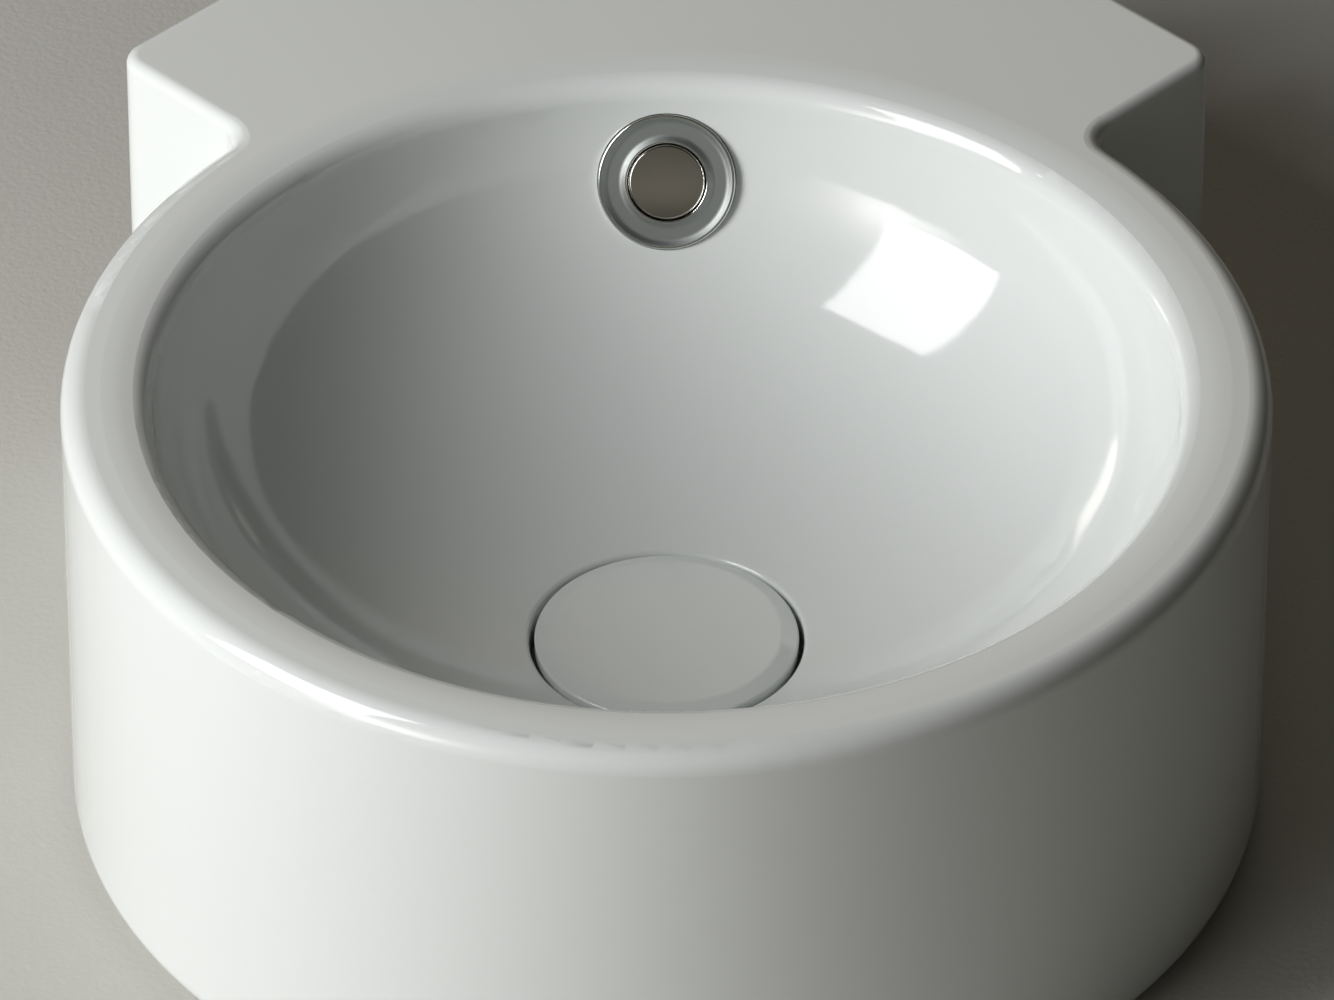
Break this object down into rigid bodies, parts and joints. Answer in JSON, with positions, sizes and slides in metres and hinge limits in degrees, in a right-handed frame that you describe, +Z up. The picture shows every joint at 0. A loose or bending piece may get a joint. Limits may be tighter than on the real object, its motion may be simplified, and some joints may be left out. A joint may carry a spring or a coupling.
{
  "type": "wall hung corner basin",
  "caption": "Small corner wash basin: round drum with a sunk bowl and a square ledge that fills the corner, push waste with a ceramic cap, round overflow, wall fixings.",
  "frame": {"origin": "on the line where the two walls meet, level with the underside of the ceramic", "axes": "+Z up, -Y out of the corner towards the user, +X to the right as seen by the user; the walls run at 45 degrees to X and Y"},
  "size_m": [0.3, 0.4269, 0.174],
  "materials": {
    "glaze": "glossy white glaze",
    "cap_glaze": "glossy white glaze",
    "polished_chrome": "polished",
    "satin_chrome": "polished beads, satin face",
    "brass": "machined",
    "black_rubber": "moulded",
    "grey_plastic": "moulded",
    "white_plastic": "moulded",
    "spring_steel": "drawn wire and strip",
    "zinc_steel": "zinc plated"
  },
  "bodies": {
    "root": {"ceramic_basin": "glaze", "waste_body": "polished_chrome", "flange_seal": "black_rubber", "cartridge_housing": "grey_plastic", "cartridge_collar": "brass", "latch_ring": "grey_plastic", "click_spring": "spring_steel", "lower_gasket": "black_rubber", "slip_washer": "white_plastic", "waste_backnut": "brass", "overflow_ring": "satin_chrome", "overflow_seal": "black_rubber", "overflow_bridge": "grey_plastic", "overflow_disc": "polished_chrome", "overflow_clip": "spring_steel", "hanger_bolts": "zinc_steel", "wall_plugs": "grey_plastic", "fixing_bushes": "white_plastic", "fixing_washers": "zinc_steel", "fixing_nuts": "zinc_steel"},
    "cap": {"waste_cap": "cap_glaze", "cap_insert": "brass", "cap_seal": "black_rubber", "plunger": "brass"}
  },
  "joints": [
    {"name": "waste_push", "type": "slide", "parent": "root", "child": "cap", "axis": [0, 0, 1], "range_m": [0, 0.008], "deforming": ["click_spring"]}
  ]
}
